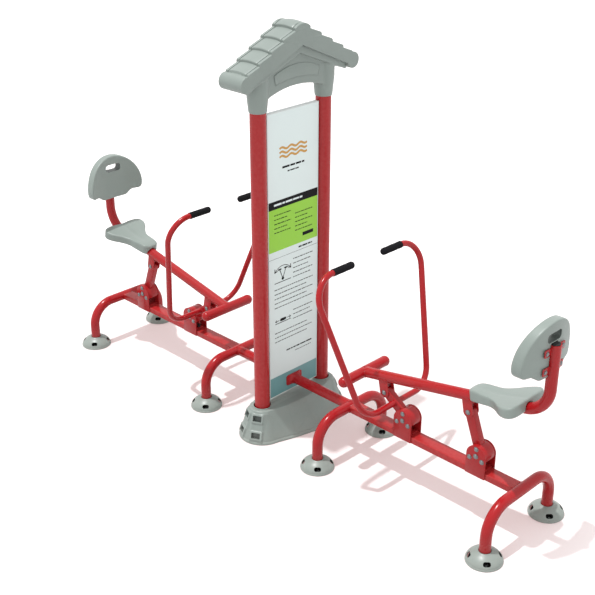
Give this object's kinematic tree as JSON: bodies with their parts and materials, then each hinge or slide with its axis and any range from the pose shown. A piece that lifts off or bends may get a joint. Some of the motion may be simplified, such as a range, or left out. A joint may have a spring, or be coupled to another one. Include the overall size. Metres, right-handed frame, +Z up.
{
  "type": "outdoor rowing machine",
  "caption": "Outdoor rowing machine: rowing stations with lever handles, seats and back rests on bent-tube legs, joined to a sign post with a small tiled roof.",
  "frame": {"origin": "on the ground, midway between the two sign posts", "axes": "+X along the machine towards the right station, +Y across it towards the far post, +Z up"},
  "size_m": [3.538, 0.874, 2.402],
  "materials": {
    "red_paint": "glossy powder coat",
    "grey_plastic": "satin moulded plastic",
    "pale_board": "smooth sheet",
    "black_foam": "matt foam",
    "black_rubber": "matt rubber",
    "bright_steel": "zinc plated"
  },
  "bodies": {
    "frame": {"near_post": "red_paint", "far_post": "red_paint", "roof_cap": "grey_plastic", "sign_board": "pale_board", "base_cover": "grey_plastic", "right_stub_tube": "red_paint", "right_inner_leg": "red_paint", "right_outer_leg": "red_paint", "right_main_beam": "red_paint", "right_front_bracket": "red_paint", "right_rear_bracket": "red_paint", "right_front_axle": "bright_steel", "right_rear_axle": "bright_steel", "right_front_bearing": "bright_steel", "right_rear_bearing": "bright_steel", "right_front_stop": "black_rubber", "right_inner_near_foot_cover": "grey_plastic", "right_inner_far_foot_cover": "grey_plastic", "right_outer_near_foot_cover": "grey_plastic", "right_outer_far_foot_cover": "grey_plastic", "left_stub_tube": "red_paint", "left_inner_leg": "red_paint", "left_outer_leg": "red_paint", "left_main_beam": "red_paint", "left_front_bracket": "red_paint", "left_rear_bracket": "red_paint", "left_front_axle": "bright_steel", "left_rear_axle": "bright_steel", "left_front_bearing": "bright_steel", "left_rear_bearing": "bright_steel", "left_front_stop": "black_rubber", "left_inner_near_foot_cover": "grey_plastic", "left_inner_far_foot_cover": "grey_plastic", "left_outer_near_foot_cover": "grey_plastic", "left_outer_far_foot_cover": "grey_plastic"},
    "right_lever": {"right_front_link": "red_paint", "right_handle_bar": "red_paint", "right_near_grip": "black_foam", "right_far_grip": "black_foam"},
    "right_rear_arm": {"right_rear_link": "red_paint"},
    "right_carriage": {"right_seat_beam": "red_paint", "right_foot_rest": "red_paint", "right_front_pin": "bright_steel", "right_rear_pin": "bright_steel", "right_seat": "grey_plastic", "right_back_rest": "grey_plastic", "right_tube_cap": "black_rubber"},
    "left_lever": {"left_front_link": "red_paint", "left_handle_bar": "red_paint", "left_near_grip": "black_foam", "left_far_grip": "black_foam"},
    "left_rear_arm": {"left_rear_link": "red_paint"},
    "left_carriage": {"left_seat_beam": "red_paint", "left_foot_rest": "red_paint", "left_front_pin": "bright_steel", "left_rear_pin": "bright_steel", "left_seat": "grey_plastic", "left_back_rest": "grey_plastic", "left_tube_cap": "black_rubber"}
  },
  "joints": [
    {"name": "right_lever_swing", "type": "hinge", "parent": "frame", "child": "right_lever", "pos_m": [0.892, 0, 0.386], "axis": [0, 1, 0], "range_deg": [0, 40]},
    {"name": "right_rear_arm_swing", "type": "hinge", "parent": "frame", "child": "right_rear_arm", "pos_m": [1.3815, 0, 0.387], "axis": [0, 1, 0], "range_deg": [0, 27.3]},
    {"name": "right_carriage_pitch", "type": "hinge", "parent": "right_lever", "child": "right_carriage", "pos_m": [0.741, 0, 0.492], "axis": [0, 1, 0], "range_deg": [-33.9, 0]},
    {"name": "left_lever_swing", "type": "hinge", "parent": "frame", "child": "left_lever", "pos_m": [-0.892, 0, 0.386], "axis": [0, -1, 0], "range_deg": [0, 40]},
    {"name": "left_rear_arm_swing", "type": "hinge", "parent": "frame", "child": "left_rear_arm", "pos_m": [-1.3815, 0, 0.387], "axis": [0, -1, 0], "range_deg": [0, 27.3]},
    {"name": "left_carriage_pitch", "type": "hinge", "parent": "left_lever", "child": "left_carriage", "pos_m": [-0.741, 0, 0.492], "axis": [0, -1, 0], "range_deg": [-33.9, 0]}
  ],
  "couplings": [
    {"joint": "right_rear_arm_swing", "follows": "right_lever_swing", "ratio": 0.6787},
    {"joint": "right_carriage_pitch", "follows": "right_lever_swing", "ratio": -0.845},
    {"joint": "left_rear_arm_swing", "follows": "left_lever_swing", "ratio": 0.6787},
    {"joint": "left_carriage_pitch", "follows": "left_lever_swing", "ratio": -0.845}
  ]
}
